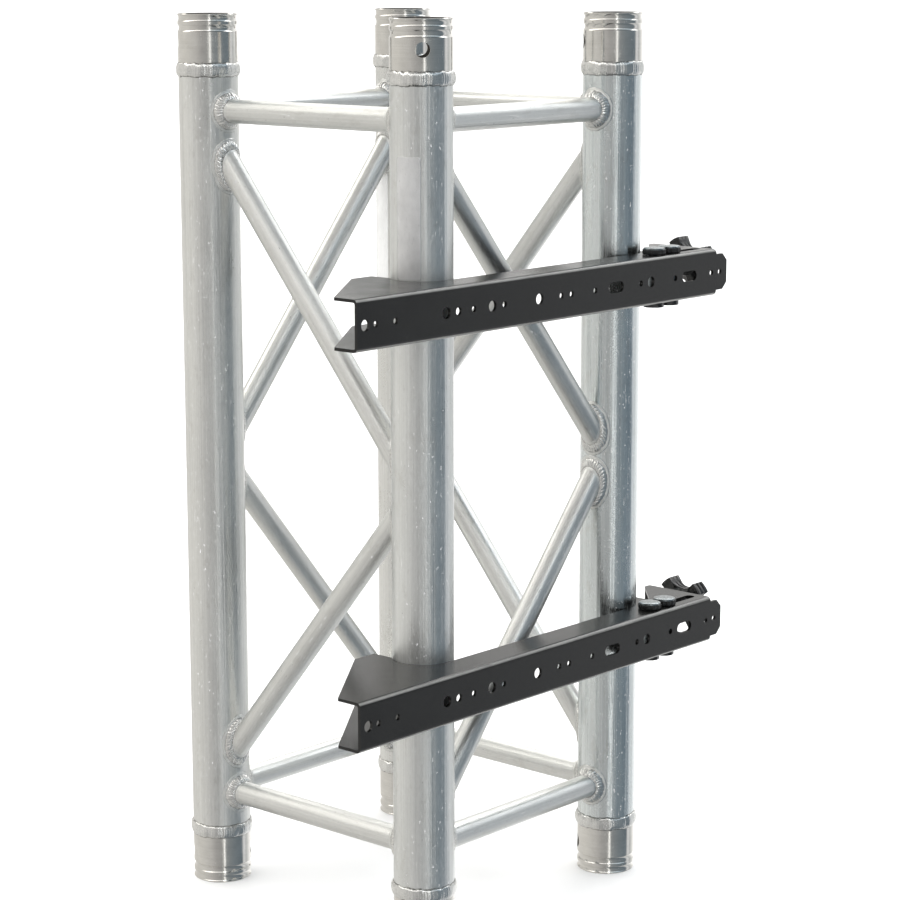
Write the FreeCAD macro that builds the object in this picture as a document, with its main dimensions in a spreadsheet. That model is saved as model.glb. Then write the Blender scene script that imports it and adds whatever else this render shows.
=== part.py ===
"""Box truss section with two clamp-on equipment rails, as a parametric FreeCAD document.

Frame: millimetres, +Z up along the truss, origin on the truss axis at the face of the bottom end sleeves.
The front face (where the rails sit) looks along -Y, and the right face along +X.
"""
import FreeCAD
import Part

import math
import os

from FreeCAD import Base

import Sketcher

doc = FreeCAD.newDocument("truss_section")

# ---------------------------------------------------------------- driving sizes, in millimetres and degrees

SIZES = {
    # truss
    "section_length": 750,
    "chord_spacing": 240,
    "chord_diameter": 50,
    "chord_wall": 2,
    "brace_diameter": 20,
    "brace_wall": 2,
    "rung_offset": 80,
    "diagonal_outer_rise": 250.5,
    "diagonal_inner_rise": 22.2,
    # end sleeves
    "sleeve_length": 46,
    "sleeve_mouth_radius": 22.5,
    "sleeve_mouth_depth": 4,
    "sleeve_bore_radius": 19,
    "sleeve_bevel": 0.5,
    "first_groove_depth": 0.9,
    "second_groove_depth": 1.1,
    "spigot_length": 24,
    "spigot_radius": 22.95,
    "pin_hole_radius": 6,
    "pin_hole_height": 24,
    "weld_width": 12,
    "weld_height": 1,
    # rails
    "rail_height": 40,
    "rail_sheet": 2.5,
    "rail_bend_radius": 4,
    "rail_depth": 92,
    "rail_front": 175,
    "rail_left": 252,
    "rail_right": 197,
    "web_right": 212,
    "chord_gap": 0.3,
    "lower_rail_height": 220,
    "upper_rail_height": 528,
    "guide_slot_radius": 4.3,
    "guide_slot_left": 124,
    "guide_slot_right": 185.7,
    "guide_line": 160,
    # clamp
    "jaw_plate": 4,
    "jaw_clearance": 0.25,
    "running_gap": 0.1,
    "shank_gap": 0.05,
    "bolt_radius": 4,
    "bolt_left": 128.1,
    "bolt_right": 148.9,
    "bolt_head_radius": 9.2,
    "bolt_head_height": 1,
    "collar_radius": 10.1,
    "collar_height": 4.5,
    "bush_radius": 8,
    "nut_height": 4.2,
    "nut_radius": 8.8,
    "spindle_radius": 4.9,
    "journal_radius": 3.5,
    "clip_width": 1.2,
    "clip_rim": 2.5,
    "knob_radius": 25,
    "knob_thickness": 15,
    "knob_face": 224,
    "knob_boss_radius": 10,
    "knob_boss_length": 7,
    "knob_scallop_radius": 15,
    "knob_scallop_distance": 29,
    "knob_grip_depth": 9,
}

sheet = doc.addObject("Spreadsheet::Sheet", "sizes")
for row, (alias, value) in enumerate(SIZES.items(), start=1):
    sheet.set(f"A{row}", alias)
    sheet.set(f"B{row}", str(value))
    sheet.setAlias(f"B{row}", alias)
doc.recompute()


def size(alias):
    """A driving size, read back from the sheet."""
    return float(sheet.get(alias))


# ---------------------------------------------------------------- places worked out from the driving sizes

LENGTH = size("section_length")
HALF_SPACING = size("chord_spacing") / 2
CHORD_RADIUS = size("chord_diameter") / 2
CHORDS = {
    "front_left": (-HALF_SPACING, -HALF_SPACING),
    "front_right": (HALF_SPACING, -HALF_SPACING),
    "back_right": (HALF_SPACING, HALF_SPACING),
    "back_left": (-HALF_SPACING, HALF_SPACING),
}
# each face runs from the chord that holds its diagonals' outer ends to the one that holds the shared joint
FACES = {
    "front": ("front_left", "front_right"),
    "right": ("front_right", "back_right"),
    "back": ("back_right", "back_left"),
    "left": ("back_left", "front_left"),
}
RAILS = {"lower": size("lower_rail_height"), "upper": size("upper_rail_height")}

# equipment holes in the rail's web, measured from its left end: radius and distances
LARGE_HOLE = 4.5
MIDDLE_HOLE = 3.2
SMALL_HOLE = 2.5
RAIL_HOLES = {
    LARGE_HOLE: (9, 99.5, 153.5, 211, 357),
    MIDDLE_HOLE: (113.5,),
    SMALL_HOLE: (20.5, 42, 131.5, 168, 238.5, 251.5, 282, 343, 390.5, 442, 454),
}
RAIL_SLOTS = (309.5, 410.5)
RAIL_SLOT_RADIUS = LARGE_HOLE
RAIL_SLOT_LENGTH = 20

# how far a cutting tool runs past what it cuts, and how far two fused solids reach into each other
CUT_MARGIN = 5
OVERLAP = 1

finished = []


def bind(target, **expressions):
    """Tie properties of an object to cells of the sheet."""
    for prop, expression in expressions.items():
        target.setExpression(prop, expression)
    return target


def finish(obj, name):
    """Give a finished sub-part its own name, which is also its file's name."""
    obj.Label = name
    finished.append(obj)
    return obj


def along(direction, point=(0, 0, 0)):
    """The placement that turns +Z to a direction and starts at a point."""
    turn = FreeCAD.Rotation(Base.Vector(0, 0, 1), Base.Vector(*direction))
    return FreeCAD.Placement(Base.Vector(*point), turn)


def cylinder(name, radius, height, placement=None):
    """A Part cylinder whose radius and height are expressions of the sheet."""
    obj = doc.addObject("Part::Cylinder", name)
    bind(obj, Radius=radius, Height=height)
    obj.Placement = placement or FreeCAD.Placement()
    return obj


def prism(name, sides, circumradius, height, placement):
    """A Part prism with a regular outline, sized by expressions of the sheet."""
    obj = doc.addObject("Part::Prism", name)
    obj.Polygon = sides
    bind(obj, Circumradius=circumradius, Height=height)
    obj.Placement = placement
    return obj


def box(name, length, width, height, corner):
    """A Part box from its sides and its lowest corner."""
    obj = doc.addObject("Part::Box", name)
    obj.Length = length
    obj.Width = width
    obj.Height = height
    obj.Placement.Base = Base.Vector(*corner)
    return obj


def fuse(name, shapes):
    """Several shapes joined into one."""
    obj = doc.addObject("Part::MultiFuse", name)
    obj.Shapes = shapes
    return obj


def cut(name, base, tools):
    """The base without the tools."""
    obj = doc.addObject("Part::Cut", name)
    obj.Base = base
    obj.Tool = tools[0] if len(tools) == 1 else fuse(name + "_tools", tools)
    return obj


def group(name, shapes):
    """Identical pieces that share one node as separate solids."""
    obj = doc.addObject("Part::Compound", name)
    obj.Links = shapes
    return obj


def new_sketch(body, role, name):
    """A sketch on one of a body's own origin planes."""
    plane = next(feature for feature in body.Origin.OriginFeatures if feature.Role == role)
    sketch = body.newObject("Sketcher::SketchObject", name)
    sketch.AttachmentSupport = (plane, [""])
    sketch.MapMode = "FlatFace"
    return sketch


def outline(sketch, points):
    """A closed outline.

    Each entry is (x, y) for a straight run to the next point, or (x, y, centre, low, high) for an arc
    to the next point, about the centre, that covers the angles from low to high in degrees.
    """
    for index, point in enumerate(points):
        following = points[(index + 1) % len(points)]
        if len(point) == 2:
            start = Base.Vector(point[0], point[1], 0)
            end = Base.Vector(following[0], following[1], 0)
            sketch.addGeometry(Part.LineSegment(start, end), False)
        else:
            centre, low, high = point[2:]
            radius = math.hypot(point[0] - centre[0], point[1] - centre[1])
            circle = Part.Circle(Base.Vector(centre[0], centre[1], 0), Base.Vector(0, 0, 1), radius)
            arc = Part.ArcOfCircle(circle, math.radians(low), math.radians(high))
            sketch.addGeometry(arc, False)


def ring(sketch, centre, radius, expression=None):
    """A circle in a sketch, its radius bound to the sheet where an expression is given."""
    circle = Part.Circle(Base.Vector(centre[0], centre[1], 0), Base.Vector(0, 0, 1), radius)
    index = sketch.addGeometry(circle, False)
    if expression:
        number = sketch.addConstraint(Sketcher.Constraint("Radius", index, radius))
        sketch.setExpression(f"Constraints[{number}]", expression)


def slot(sketch, centre, half_width, length):
    """A round-ended slot along the sketch's first axis."""
    reach = length / 2 - half_width
    left, right = centre[0] - reach, centre[0] + reach
    middle = centre[1]
    outline(
        sketch,
        [
            (left, middle - half_width),
            (right, middle - half_width, (right, middle), -90, 90),
            (right, middle + half_width),
            (left, middle + half_width, (left, middle), 90, 270),
        ],
    )


def pad(body, sketch, length):
    """A sketch pulled out to a length, which may be an expression of the sheet."""
    feature = body.newObject("PartDesign::Pad", sketch.Name + "_pad")
    feature.Profile = sketch
    return bind(feature, Length=length)


def pocket(body, sketch):
    """A sketch cut through the whole body, both ways."""
    feature = body.newObject("PartDesign::Pocket", sketch.Name + "_pocket")
    feature.Profile = sketch
    feature.Type = 1
    feature.Midplane = True
    return feature


# ---------------------------------------------------------------- truss: chords, end sleeves and their welds

# each groove of a sleeve: where it starts and ends, measured from the mouth, and its depth
SLEEVE_GROOVES = (
    (1.2, 6.4, size("first_groove_depth")),
    (8.8, 14.8, size("second_groove_depth")),
)


def build_chord(name, place):
    """One main tube, between the two sleeves welded to its ends."""
    body = doc.addObject("PartDesign::Body", f"chord_{name}")
    sketch = new_sketch(body, "XY_Plane", f"chord_{name}_section")
    ring(sketch, (0, 0), CHORD_RADIUS, "sizes.chord_diameter / 2")
    ring(sketch, (0, 0), CHORD_RADIUS - size("chord_wall"), "sizes.chord_diameter / 2 - sizes.chord_wall")
    pad(body, sketch, "sizes.section_length - 2 * sizes.sleeve_length")
    body.Placement.Base = Base.Vector(place[0], place[1], size("sleeve_length"))
    finish(body, f"chord_{name}")


def sleeve_profile():
    """Half section of an end sleeve: radius and height, with two round grooves near the mouth."""
    length = size("sleeve_length")
    mouth = size("sleeve_mouth_radius")
    bore = size("sleeve_bore_radius")
    spigot = size("spigot_radius")
    end = length + size("spigot_length")
    bevel = size("sleeve_bevel")
    points = [(mouth, 0), (CHORD_RADIUS - bevel, 0), (CHORD_RADIUS, bevel)]
    for low, high, depth in SLEEVE_GROOVES:
        reach = (high - low) / 2
        radius = (reach ** 2 + depth ** 2) / (2 * depth)
        half_angle = math.degrees(math.asin(reach / radius))
        centre = (CHORD_RADIUS - depth + radius, (low + high) / 2)
        points += [(CHORD_RADIUS, low, centre, 180 - half_angle, 180 + half_angle), (CHORD_RADIUS, high)]
    points += [(CHORD_RADIUS, length), (spigot, length), (spigot, end), (bore, end), (bore, length)]
    points += [(mouth, size("sleeve_mouth_depth"))]
    return points


def build_sleeve(end, name, place):
    """A machined receiver for the conical coupler, with the cross hole for its locking pin."""
    body = doc.addObject("PartDesign::Body", f"sleeve_{end}_{name}")
    profile = new_sketch(body, "XZ_Plane", f"sleeve_{end}_{name}_profile")
    outline(profile, sleeve_profile())
    turned = body.newObject("PartDesign::Revolution", f"sleeve_{end}_{name}_turned")
    turned.Profile = profile
    turned.ReferenceAxis = (profile, ["V_Axis"])
    turned.Angle = 360
    hole = new_sketch(body, "XZ_Plane", f"sleeve_{end}_{name}_pin_hole")
    ring(hole, (0, size("pin_hole_height")), size("pin_hole_radius"), "sizes.pin_hole_radius")
    pocket(body, hole)
    # the cross hole points at the truss axis
    heading = FreeCAD.Rotation(Base.Vector(0, 0, 1), math.degrees(math.atan2(place[1], place[0])) + 90)
    flip = FreeCAD.Rotation(Base.Vector(1, 0, 0), 180 if end == "top" else 0)
    height = LENGTH if end == "top" else 0
    body.Placement = FreeCAD.Placement(Base.Vector(place[0], place[1], height), heading.multiply(flip))
    finish(body, f"sleeve_{end}_{name}")


def build_sleeve_welds():
    """The bead round each joint between a sleeve and its tube."""
    beads = []
    for end, height in (("bottom", size("sleeve_length")), ("top", LENGTH - size("sleeve_length"))):
        for name, place in CHORDS.items():
            low = FreeCAD.Placement(Base.Vector(place[0], place[1], height - size("weld_width") / 2),
                                    FreeCAD.Rotation())
            label = f"bead_{end}_{name}"
            outer = cylinder(label + "_outer", "sizes.chord_diameter / 2 + sizes.weld_height",
                             "sizes.weld_width", low)
            inner = cylinder(label + "_inner", "sizes.chord_diameter / 2", "sizes.weld_width", low)
            beads.append(cut(label, outer, [inner]))
    finish(group("sleeve_weld_beads", beads), "sleeve_welds")


# ---------------------------------------------------------------- truss: rungs and diagonals

def build_brace(name, first, second, first_height, second_height):
    """A small tube between two chords, its ends cut to fit round them.

    The heights are where its axis meets the two chords' facing sides.
    """
    start, end = CHORDS[first], CHORDS[second]
    span = Base.Vector(end[0] - start[0], end[1] - start[1], 0)
    clear = span.Length - 2 * CHORD_RADIUS
    slope = (second_height - first_height) / clear
    origin = Base.Vector(start[0], start[1], first_height - slope * CHORD_RADIUS)
    direction = Base.Vector(span.x, span.y, slope * span.Length)
    placement = along(tuple(direction), tuple(origin))
    outer = cylinder(name + "_outer", "sizes.brace_diameter / 2", f"{direction.Length:.6f} mm", placement)
    tools = [
        cylinder(name + "_bore", "sizes.brace_diameter / 2 - sizes.brace_wall",
                 f"{direction.Length:.6f} mm", placement)
    ]
    for label, place in (("first", start), ("second", end)):
        upright = FreeCAD.Placement(Base.Vector(place[0], place[1], 0), FreeCAD.Rotation())
        tools.append(cylinder(f"{name}_{label}_chord", "sizes.chord_diameter / 2", "sizes.section_length",
                              upright))
    finish(cut(name + "_cut", outer, tools), name)


def build_braces():
    middle = LENGTH / 2
    outer_rise = size("diagonal_outer_rise")
    inner_rise = size("diagonal_inner_rise")
    for face, (outer_chord, inner_chord) in FACES.items():
        for end, height in (("bottom", size("rung_offset")), ("top", LENGTH - size("rung_offset"))):
            build_brace(f"rung_{end}_{face}", outer_chord, inner_chord, height, height)
        for half, sign in (("lower", -1), ("upper", 1)):
            build_brace(f"diagonal_{half}_{face}", outer_chord, inner_chord,
                        middle + sign * outer_rise, middle + sign * inner_rise)


# ---------------------------------------------------------------- rails

HOOK_END_ANGLE = 137
HOOK_BACK = -83
HOOK_SHOULDER = -161.5
HOOK_FOOT = -151.5
EAR_BACK = -107
EAR_FOOT = 148.5
EAR_INNER = 190
TONGUE_HALF_HEIGHT = 15.5
TONGUE_CLIP = 6
SEAT = -HALF_SPACING - CHORD_RADIUS - size("chord_gap")
FRONT = -size("rail_front")
LEFT = -size("rail_left")
RIGHT = size("rail_right")
WEB_RIGHT = size("web_right")
HALF_HEIGHT = size("rail_height") / 2
SHEET_METAL = size("rail_sheet")
BEND = size("rail_bend_radius")
GUIDE_LINE = -size("guide_line")


def recess_point(chord, angle):
    """A point on the clearance circle round a chord."""
    centre = CHORDS[chord]
    radius = CHORD_RADIUS + size("chord_gap")
    turn = math.radians(angle)
    return centre[0] + radius * math.cos(turn), centre[1] + radius * math.sin(turn)


def rail_section():
    """The channel's folded section, open to the back, with round bends of constant thickness."""
    back = FRONT + size("rail_depth")
    centre_in = FRONT + BEND
    inside = FRONT + SHEET_METAL
    top, inner_top = HALF_HEIGHT, HALF_HEIGHT - SHEET_METAL
    bend_top = HALF_HEIGHT - BEND
    return [
        (back, top),
        (centre_in, top, (centre_in, bend_top), 90, 180),
        (FRONT, bend_top),
        (FRONT, -bend_top, (centre_in, -bend_top), 180, 270),
        (centre_in, -top),
        (back, -top),
        (back, -inner_top),
        (centre_in, -inner_top, (centre_in, -bend_top), 180, 270),
        (inside, -bend_top),
        (inside, bend_top, (centre_in, bend_top), 90, 180),
        (centre_in, inner_top),
        (back, inner_top),
    ]


def flange_waste():
    """What is cut off the flanges in plan.

    The flanges keep a hook round the left chord, a straight seat between the chords and an ear that
    holds the clamp's anchor block.
    """
    left_chord = CHORDS["front_left"]
    hook = recess_point("front_left", HOOK_END_ANGLE)
    back = FRONT + size("rail_depth") + CUT_MARGIN
    return [
        (LEFT - CUT_MARGIN, back),
        (LEFT - CUT_MARGIN, HOOK_FOOT),
        (LEFT, HOOK_FOOT),
        (HOOK_SHOULDER, HOOK_BACK),
        (hook[0], HOOK_BACK),
        (hook[0], hook[1], left_chord, HOOK_END_ANGLE, 270),
        (left_chord[0], SEAT),
        (EAR_FOOT, SEAT),
        (EAR_INNER, EAR_BACK),
        (RIGHT, EAR_BACK),
        (RIGHT, FRONT + BEND),
        (WEB_RIGHT + CUT_MARGIN, FRONT + BEND),
        (WEB_RIGHT + CUT_MARGIN, back),
    ]


def tongue_waste(side):
    """What is cut off one edge of the web beyond the flanges, leaving a tongue with clipped corners."""
    edge = side * TONGUE_HALF_HEIGHT
    clipped = side * (TONGUE_HALF_HEIGHT - TONGUE_CLIP)
    beyond = side * (HALF_HEIGHT + CUT_MARGIN)
    return [
        (RIGHT, edge),
        (WEB_RIGHT - TONGUE_CLIP, edge),
        (WEB_RIGHT, clipped),
        (WEB_RIGHT + CUT_MARGIN, clipped),
        (WEB_RIGHT + CUT_MARGIN, beyond),
        (RIGHT, beyond),
    ]


def build_rail(which, height):
    """Folded sheet channel that seats on the two front chords, with equipment holes in its web."""
    name = f"rail_{which}"
    body = doc.addObject("PartDesign::Body", name)
    section = new_sketch(body, "YZ_Plane", f"{name}_section")
    section.AttachmentOffset = FreeCAD.Placement(Base.Vector(0, 0, LEFT), FreeCAD.Rotation())
    outline(section, rail_section())
    pad(body, section, "sizes.rail_left + sizes.web_right")

    plan = new_sketch(body, "XY_Plane", f"{name}_plan")
    outline(plan, flange_waste())
    pocket(body, plan)

    for side, edge in ((1, "top"), (-1, "bottom")):
        tongue = new_sketch(body, "XZ_Plane", f"{name}_tongue_{edge}")
        outline(tongue, tongue_waste(side))
        pocket(body, tongue)

    holes = new_sketch(body, "XZ_Plane", f"{name}_holes")
    for radius, places in RAIL_HOLES.items():
        for place in places:
            ring(holes, (LEFT + place, 0), radius)
    for place in RAIL_SLOTS:
        slot(holes, (LEFT + place, 0), RAIL_SLOT_RADIUS, RAIL_SLOT_LENGTH)
    pocket(body, holes)

    guide = new_sketch(body, "XY_Plane", f"{name}_guide")
    low, high = size("guide_slot_left"), size("guide_slot_right")
    half_width = size("guide_slot_radius")
    slot(guide, ((low + high) / 2, GUIDE_LINE), half_width, high - low + 2 * half_width)
    pocket(body, guide)

    body.Placement.Base = Base.Vector(0, 0, height)
    finish(body, name)


# ---------------------------------------------------------------- clamp: jaw, guide bolts, spindle and knob

JAW_FRONT = -171
JAW_RIGHT = 176
JAW_CORNER = -146
JAW_FINGER = 162
JAW_ELBOW = -132
JAW_TIP = -88
BLOCK_LEFT, BLOCK_RIGHT, BLOCK_HALF_DEPTH = 152, 164, 11
ANCHOR_LEFT, ANCHOR_RIGHT, ANCHOR_HALF_DEPTH = 186.5, 196.5, 10
JAW_HALF_HEIGHT = HALF_HEIGHT - SHEET_METAL - size("jaw_clearance")
JAW_INNER_HALF = JAW_HALF_HEIGHT - size("jaw_plate")
SPINDLE_LINE = -HALF_SPACING
SLIDE_GAP = 0.2
KNOB_ANGLES = {"lower": 41, "upper": 29}
KNOB_LOBES = 4
JOURNAL_OVERHANG = 2.5
THREAD_END = 0.5
GRIP_SIDES = 12


def upright(x, y, z):
    """A placement with no turn."""
    return FreeCAD.Placement(Base.Vector(x, y, z), FreeCAD.Rotation())


def lengthwise(x, height):
    """A placement on the spindle's line, with +Z turned to +X."""
    return along((1, 0, 0), (x, SPINDLE_LINE, height))


def bolt_places():
    return [(size("bolt_left"), GUIDE_LINE), (size("bolt_right"), GUIDE_LINE)]


def jaw_plate(name, level):
    """A flat hook that closes round the right chord from outside, with holes for the guide bolts."""
    centre = CHORDS["front_right"]
    tip_angle = 180 - HOOK_END_ANGLE
    tip = recess_point("front_right", tip_angle)
    body = doc.addObject("PartDesign::Body", name)
    plan = new_sketch(body, "XY_Plane", f"{name}_plan")
    outline(plan, [
        (centre[0], SEAT, centre, -90, tip_angle),
        tip,
        (tip[0], JAW_TIP),
        (JAW_FINGER, JAW_TIP),
        (JAW_FINGER, JAW_ELBOW),
        (JAW_RIGHT, JAW_CORNER),
        (JAW_RIGHT, JAW_FRONT),
        (centre[0], JAW_FRONT),
    ])
    for place in bolt_places():
        ring(plan, place, size("bolt_radius"), "sizes.bolt_radius")
    pad(body, plan, "sizes.jaw_plate")
    body.Placement.Base = Base.Vector(0, 0, level)
    return body


def build_jaw(which, height):
    """Two hook plates, the block between them that the spindle pushes and pulls, and two bushes."""
    top = jaw_plate(f"jaw_plate_{which}_top", height + JAW_INNER_HALF)
    bottom = jaw_plate(f"jaw_plate_{which}_bottom", height - JAW_HALF_HEIGHT)
    finish(group(f"jaw_plates_{which}_pair", [top, bottom]), f"jaw_plates_{which}")

    name = f"jaw_block_{which}"
    solid = box(name + "_solid", BLOCK_RIGHT - BLOCK_LEFT, 2 * BLOCK_HALF_DEPTH, 2 * JAW_INNER_HALF,
                (BLOCK_LEFT, SPINDLE_LINE - BLOCK_HALF_DEPTH, height - JAW_INNER_HALF))
    bore = cylinder(name + "_bore", "sizes.journal_radius + sizes.running_gap",
                    f"{BLOCK_RIGHT - BLOCK_LEFT + 2 * CUT_MARGIN} mm",
                    lengthwise(BLOCK_LEFT - CUT_MARGIN, height))
    finish(cut(name + "_cut", solid, [bore]), name)

    bushes = []
    for index, (x, y) in enumerate(bolt_places()):
        label = f"guide_bush_{which}_{index}"
        place = upright(x, y, height - JAW_INNER_HALF)
        inner_height = "sizes.rail_height - 2 * (sizes.rail_sheet + sizes.jaw_clearance + sizes.jaw_plate)"
        outer = cylinder(label + "_outer", "sizes.bush_radius", inner_height, place)
        inner = cylinder(label + "_inner", "sizes.bolt_radius + sizes.running_gap", inner_height, place)
        bushes.append(cut(label, outer, [inner]))
    finish(group(f"guide_bushes_{which}_pair", bushes), f"guide_bushes_{which}")


def build_guide_bolts(which, height):
    """Two bolts through both flanges, each with a low disc head on a broad collar, and a round nut below."""
    top = height + HALF_HEIGHT + SLIDE_GAP
    bottom = height - HALF_HEIGHT - SLIDE_GAP
    nut_height = size("nut_height")
    collar_height = size("collar_height")
    shank_length = top + collar_height - bottom + nut_height + THREAD_END
    bolts, collars, nuts = [], [], []
    for index, (x, y) in enumerate(bolt_places()):
        label = f"{which}_{index}"
        shank = cylinder(f"shank_{label}", "sizes.bolt_radius - sizes.shank_gap", f"{shank_length} mm",
                         upright(x, y, bottom - nut_height - THREAD_END))
        head = cylinder(f"head_{label}", "sizes.bolt_head_radius", "sizes.bolt_head_height",
                        upright(x, y, top + collar_height))
        bolts.append(fuse(f"bolt_{label}", [shank, head]))
        disc = prism(f"collar_disc_{label}", GRIP_SIDES, "sizes.collar_radius", "sizes.collar_height",
                     upright(x, y, top))
        hole = cylinder(f"collar_hole_{label}", "sizes.bolt_radius", "sizes.collar_height",
                        upright(x, y, top))
        collars.append(cut(f"collar_{label}", disc, [hole]))
        low_disc = prism(f"nut_disc_{label}", GRIP_SIDES, "sizes.nut_radius", "sizes.nut_height",
                         upright(x, y, bottom - nut_height))
        thread = cylinder(f"nut_hole_{label}", "sizes.bolt_radius", "sizes.nut_height",
                          upright(x, y, bottom - nut_height))
        nuts.append(cut(f"nut_{label}", low_disc, [thread]))
    finish(group(f"guide_bolts_{which}_pair", bolts), f"guide_bolts_{which}")
    finish(group(f"guide_collars_{which}_pair", collars), f"guide_collars_{which}")
    finish(group(f"guide_nuts_{which}_pair", nuts), f"guide_nuts_{which}")


def build_spindle(which, height):
    """Anchor block held between the ears, threaded spindle, its retaining clip and the star knob."""
    name = f"anchor_block_{which}"
    inner_half = HALF_HEIGHT - SHEET_METAL
    solid = box(name + "_solid", ANCHOR_RIGHT - ANCHOR_LEFT, 2 * ANCHOR_HALF_DEPTH, 2 * inner_half,
                (ANCHOR_LEFT, SPINDLE_LINE - ANCHOR_HALF_DEPTH, height - inner_half))
    bore = cylinder(name + "_bore", "sizes.spindle_radius + sizes.running_gap",
                    f"{ANCHOR_RIGHT - ANCHOR_LEFT + 2 * CUT_MARGIN} mm",
                    lengthwise(ANCHOR_LEFT - CUT_MARGIN, height))
    finish(cut(name + "_cut", solid, [bore]), name)

    name = f"clamp_spindle_{which}"
    journal_left = BLOCK_LEFT - JOURNAL_OVERHANG
    shoulder = BLOCK_RIGHT + SLIDE_GAP
    spindle_end = size("knob_face") + size("knob_grip_depth")
    journal = cylinder(name + "_journal", "sizes.journal_radius", f"{spindle_end - journal_left} mm",
                       lengthwise(journal_left, height))
    thread = cylinder(name + "_thread", "sizes.spindle_radius", f"{spindle_end - shoulder} mm",
                      lengthwise(shoulder, height))
    finish(fuse(name + "_solid", [journal, thread]), name)

    name = f"spindle_clip_{which}"
    clip_place = lengthwise(BLOCK_LEFT - SLIDE_GAP - size("clip_width"), height)
    rim = cylinder(name + "_rim", "sizes.journal_radius + sizes.clip_rim", "sizes.clip_width", clip_place)
    eye = cylinder(name + "_eye", "sizes.journal_radius", "sizes.clip_width", clip_place)
    finish(cut(name + "_cut", rim, [eye]), name)

    build_knob(which, height)


def build_knob(which, height):
    """Four-lobed knob: a disc scalloped between its lobes, with a boss towards the rail."""
    name = f"clamp_knob_{which}"
    face = size("knob_face")
    disc = cylinder(name + "_disc", "sizes.knob_radius", "sizes.knob_thickness", lengthwise(face, height))
    boss_end = lengthwise(face - size("knob_boss_length"), height)
    boss = cylinder(name + "_boss", "sizes.knob_boss_radius", f"sizes.knob_boss_length + {OVERLAP}", boss_end)
    distance = size("knob_scallop_distance")
    tools = [cylinder(name + "_socket", "sizes.spindle_radius",
                      "sizes.knob_boss_length + sizes.knob_grip_depth", boss_end)]
    for index in range(KNOB_LOBES):
        angle = math.radians(KNOB_ANGLES[which] + (index + 0.5) * 360 / KNOB_LOBES)
        place = along((1, 0, 0), (face - OVERLAP, SPINDLE_LINE + distance * math.sin(angle),
                                  height + distance * math.cos(angle)))
        tools.append(cylinder(f"{name}_scallop_{index}", "sizes.knob_scallop_radius",
                              f"sizes.knob_thickness + {2 * OVERLAP}", place))
    finish(cut(name + "_cut", fuse(name + "_solid", [disc, boss]), tools), name)


# ---------------------------------------------------------------- build, check and write

for chord_name, chord_place in CHORDS.items():
    build_chord(chord_name, chord_place)
    for sleeve_end in ("bottom", "top"):
        build_sleeve(sleeve_end, chord_name, chord_place)
build_sleeve_welds()
build_braces()
for rail_name, rail_height in RAILS.items():
    build_rail(rail_name, rail_height)
    build_jaw(rail_name, rail_height)
    build_guide_bolts(rail_name, rail_height)
    build_spindle(rail_name, rail_height)
doc.recompute()

faulty = [obj.Label for obj in doc.Objects if "Invalid" in obj.State or "Error" in obj.State]
faulty += [obj.Label for obj in finished if obj.Shape.isNull() or not obj.Shape.isValid()]
if faulty:
    raise RuntimeError(f"objects that failed: {faulty}")

os.makedirs("parts", exist_ok=True)
for obj in finished:
    obj.Shape.exportStep(f"parts/{obj.Label}.step")
    print(obj.Label, len(obj.Shape.Solids), "solids", round(obj.Shape.Volume), "mm3")
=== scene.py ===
import math

import bmesh
import bpy
from mathutils import Matrix, Vector, noise


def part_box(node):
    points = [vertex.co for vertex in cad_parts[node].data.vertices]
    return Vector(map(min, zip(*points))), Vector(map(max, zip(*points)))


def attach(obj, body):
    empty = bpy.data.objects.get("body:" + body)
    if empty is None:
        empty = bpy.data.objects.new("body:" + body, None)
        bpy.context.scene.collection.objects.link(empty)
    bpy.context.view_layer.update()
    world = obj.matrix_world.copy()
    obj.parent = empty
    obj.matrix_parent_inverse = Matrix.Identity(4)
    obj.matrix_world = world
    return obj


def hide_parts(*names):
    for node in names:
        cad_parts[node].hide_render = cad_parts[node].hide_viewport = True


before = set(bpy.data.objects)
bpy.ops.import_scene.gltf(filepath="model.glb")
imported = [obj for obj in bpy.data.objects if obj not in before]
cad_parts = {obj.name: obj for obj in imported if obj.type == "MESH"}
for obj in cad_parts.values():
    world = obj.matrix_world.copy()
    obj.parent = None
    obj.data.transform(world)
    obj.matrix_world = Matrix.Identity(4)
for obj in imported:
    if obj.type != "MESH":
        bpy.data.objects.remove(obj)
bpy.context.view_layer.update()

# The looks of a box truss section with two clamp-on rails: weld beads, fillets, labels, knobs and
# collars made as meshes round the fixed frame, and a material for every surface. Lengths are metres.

# ---------------------------------------------------------------- places and sizes, from the frame

CORNERS = ("front_left", "front_right", "back_right", "back_left")
ENDS = ("bottom", "top")
RAILS = ("lower", "upper")
UP = Vector((0, 0, 1))

# each face runs from the chord with its diagonals' outer ends to the one with the shared joint
FACES = {
    "front": ("front_left", "front_right"),
    "right": ("front_right", "back_right"),
    "back": ("back_right", "back_left"),
    "left": ("back_left", "front_left"),
}


def middle(node):
    """The middle of a node's box."""
    low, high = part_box(node)
    return (Vector(low) + Vector(high)) / 2


def extent(node):
    """The size of a node's box."""
    low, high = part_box(node)
    return Vector(high) - Vector(low)


CHORD_AXIS = {corner: middle(f"chord_{corner}").xy.to_3d() for corner in CORNERS}
CHORD_RADIUS = extent("chord_front_left").x / 2
BRACE_RADIUS = extent("rung_bottom_front").z / 2
HALF_SPACING = CHORD_AXIS["back_right"].x
# a sleeve's surfaces nearer to the chord's axis than this belong to its bore
BORE_LINE = CHORD_RADIUS - 0.0018
BORE_BLEND = 0.0004
SLEEVE_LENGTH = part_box("chord_front_left")[0][2]
SECTION_LENGTH = SLEEVE_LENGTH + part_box("chord_front_left")[1][2]
MIDDLE_HEIGHT = SECTION_LENGTH / 2

# heights of the diagonals' axes above the middle, where they reach the chords' facing sides
DIAGONAL_OUTER_RISE = 0.2505
DIAGONAL_INNER_RISE = 0.0222


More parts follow.
